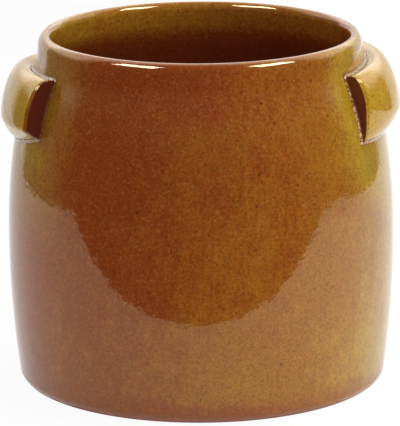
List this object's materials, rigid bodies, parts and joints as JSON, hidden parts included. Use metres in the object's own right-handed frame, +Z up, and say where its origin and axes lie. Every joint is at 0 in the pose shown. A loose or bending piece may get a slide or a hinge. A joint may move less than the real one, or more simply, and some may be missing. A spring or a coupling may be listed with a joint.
{
  "type": "flower pot",
  "caption": "Round glazed stoneware planter with a barrel-shaped wall, a short neck under a rounded lip, a flat foot ring and an ear lug luted to each side.",
  "frame": {"origin": "centre of the foot ring on the ground, under the pot's axis and midway between the outer faces of the two ears", "axes": "+Z up along the pot's axis, +X through the right ear, -Y towards the front from which the two ears are at the left and right"},
  "size_m": [0.3092, 0.3, 0.274],
  "materials": {
    "body_glaze": "glossy speckled amber-brown glaze over stoneware, bare on the foot",
    "ear_glaze": "glossy amber glaze breaking to olive yellow",
    "luting_glaze": "glossy glaze, thinner and paler over the bead"
  },
  "bodies": {
    "root": {"pot_body": "body_glaze", "left_ear": "ear_glaze", "right_ear": "ear_glaze", "left_ear_luting": "luting_glaze", "right_ear_luting": "luting_glaze"}
  },
  "joints": []
}
